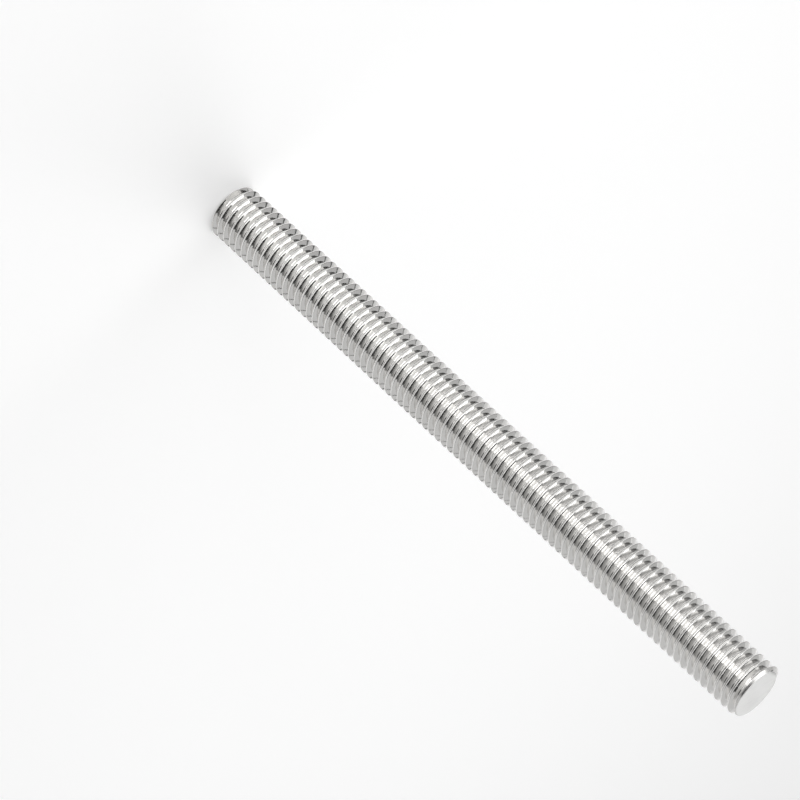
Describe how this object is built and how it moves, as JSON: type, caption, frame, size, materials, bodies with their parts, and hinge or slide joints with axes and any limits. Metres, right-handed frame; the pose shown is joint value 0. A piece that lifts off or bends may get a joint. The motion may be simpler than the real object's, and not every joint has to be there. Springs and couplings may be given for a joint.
{
  "type": "threaded rod",
  "caption": "Straight steel rod with a right-hand metric thread from end to end and a flat, chamfered face at each end.",
  "frame": {"origin": "centre of the bottom end face, on the surface that the rod stands on", "axes": "+Z along the rod's axis, from the bottom face to the top face; +X passes through the point where the thread enters at the bottom face"},
  "size_m": [0.01, 0.01, 0.125],
  "materials": {
    "stainless_steel": "bright rolled thread with matt, square-cut end faces"
  },
  "bodies": {
    "root": {"threaded_rod": "stainless_steel"}
  },
  "joints": []
}
